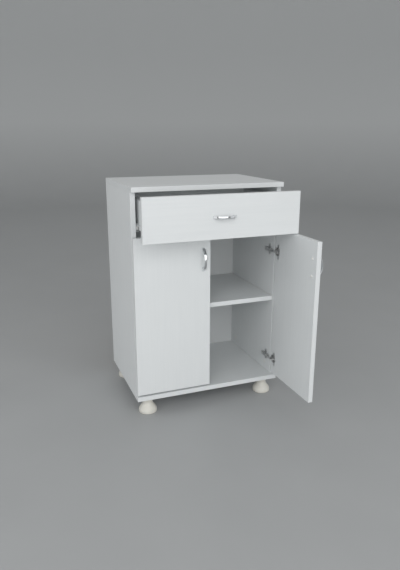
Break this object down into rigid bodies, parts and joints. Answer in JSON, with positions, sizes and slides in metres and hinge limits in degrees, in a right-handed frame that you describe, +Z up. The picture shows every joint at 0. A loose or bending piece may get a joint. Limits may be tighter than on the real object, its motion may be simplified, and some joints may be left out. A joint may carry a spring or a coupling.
{
  "type": "bathroom floor cabinet",
  "caption": "Free-standing white bathroom floor cabinet with a roller-runner drawer over hinged doors, an inner shelf, bow handles and bell-shaped feet.",
  "frame": {"origin": "on the floor, at the middle of the area covered by the cabinet as stored: drawer pulled out 126 mm and right door open at a right angle. The carcass's own middle is 13.9 mm to the left of it and its front plane 72.35 mm in front of it.", "axes": "+X along the front to the right, +Y from the front to the back, +Z up"},
  "size_m": [0.6278, 0.7052, 0.884],
  "materials": {
    "white_board": "white melamine-faced chipboard with matching edging, satin",
    "hardboard": "thin fibreboard, white lacquer on the inside, bare brown fibre on the outside, matt",
    "zinc_steel": "bright zinc plating",
    "nickel_steel": "nickel-plated pressed steel",
    "chrome": "polished chrome",
    "white_steel": "white powder coat",
    "white_plastic": "moulded white nylon",
    "cream_plastic": "moulded cream plastic, satin",
    "beech": "plain beech"
  },
  "bodies": {
    "cabinet": {"top_panel": "white_board", "base_panel": "white_board", "side_panel_left": "white_board", "side_panel_right": "white_board", "back_panel": "hardboard", "shelf": "white_board", "shelf_pins": "zinc_steel", "cam_locks": "zinc_steel", "cam_bolts": "zinc_steel", "dowels": "beech", "foot_front_left": "cream_plastic", "foot_front_right": "cream_plastic", "foot_back_left": "cream_plastic", "foot_back_right": "cream_plastic", "foot_screws": "zinc_steel", "slide_rail_left": "white_steel", "slide_rail_right": "white_steel", "slide_screws": "zinc_steel", "hinge_plate_left_upper": "nickel_steel", "hinge_plate_left_lower": "nickel_steel", "hinge_plate_right_upper": "nickel_steel", "hinge_plate_right_lower": "nickel_steel", "hinge_plate_screws": "zinc_steel", "hinge_arm_left_upper": "nickel_steel", "hinge_arm_left_lower": "nickel_steel", "hinge_arm_right_upper": "nickel_steel", "hinge_arm_right_lower": "nickel_steel", "hinge_arm_screws": "zinc_steel"},
    "drawer": {"drawer_front": "white_board", "drawer_side_left": "white_board", "drawer_side_right": "white_board", "drawer_back": "white_board", "drawer_bottom": "hardboard", "drawer_runner_left": "white_steel", "drawer_runner_right": "white_steel", "drawer_cam_locks": "zinc_steel", "drawer_cam_bolts": "zinc_steel", "drawer_screws": "zinc_steel", "drawer_handle": "chrome", "drawer_handle_screws": "zinc_steel"},
    "door_left": {"door_left": "white_board", "hinge_cups_left": "nickel_steel", "hinge_cup_screws_left": "zinc_steel", "hinge_pins_left": "nickel_steel", "door_handle_left": "chrome", "door_handle_screws_left": "zinc_steel"},
    "door_right": {"door_right": "white_board", "hinge_cups_right": "nickel_steel", "hinge_cup_screws_right": "zinc_steel", "hinge_pins_right": "nickel_steel", "door_handle_right": "chrome", "door_handle_screws_right": "zinc_steel"},
    "rail_roller_left": {"rail_roller_left": "white_plastic"},
    "rail_roller_right": {"rail_roller_right": "white_plastic"},
    "runner_roller_left": {"runner_roller_left": "white_plastic"},
    "runner_roller_right": {"runner_roller_right": "white_plastic"}
  },
  "joints": [
    {"name": "drawer_slide", "type": "slide", "parent": "cabinet", "child": "drawer", "axis": [0, -1, 0], "range_m": [-0.126, 0.134]},
    {"name": "door_left_hinge", "type": "hinge", "parent": "cabinet", "child": "door_left", "pos_m": [-0.3057, -0.06335, 0.394], "axis": [0, 0, -1], "range_deg": [0, 105]},
    {"name": "door_right_hinge", "type": "hinge", "parent": "cabinet", "child": "door_right", "pos_m": [0.2779, -0.06335, 0.394], "axis": [0, 0, 1], "range_deg": [-90, 15]},
    {"name": "rail_roller_left_spin", "type": "hinge", "parent": "cabinet", "child": "rail_roller_left", "pos_m": [-0.2902, -0.03735, 0.7371], "axis": [1, 0, 0], "range_deg": [-809.2, 809.2]},
    {"name": "runner_roller_left_spin", "type": "hinge", "parent": "drawer", "child": "runner_roller_left", "pos_m": [-0.2899, 0.15765, 0.7382], "axis": [1, 0, 0], "range_deg": [-699, 699]},
    {"name": "rail_roller_right_spin", "type": "hinge", "parent": "cabinet", "child": "rail_roller_right", "pos_m": [0.2624, -0.03735, 0.7371], "axis": [1, 0, 0], "range_deg": [-809.2, 809.2]},
    {"name": "runner_roller_right_spin", "type": "hinge", "parent": "drawer", "child": "runner_roller_right", "pos_m": [0.2621, 0.15765, 0.7382], "axis": [1, 0, 0], "range_deg": [-699, 699]}
  ],
  "couplings": [
    {"joint": "rail_roller_left_spin", "follows": "drawer_slide", "rad_per_m": 105.26},
    {"joint": "runner_roller_left_spin", "follows": "drawer_slide", "rad_per_m": 90.909},
    {"joint": "rail_roller_right_spin", "follows": "drawer_slide", "rad_per_m": 105.26},
    {"joint": "runner_roller_right_spin", "follows": "drawer_slide", "rad_per_m": 90.909}
  ]
}
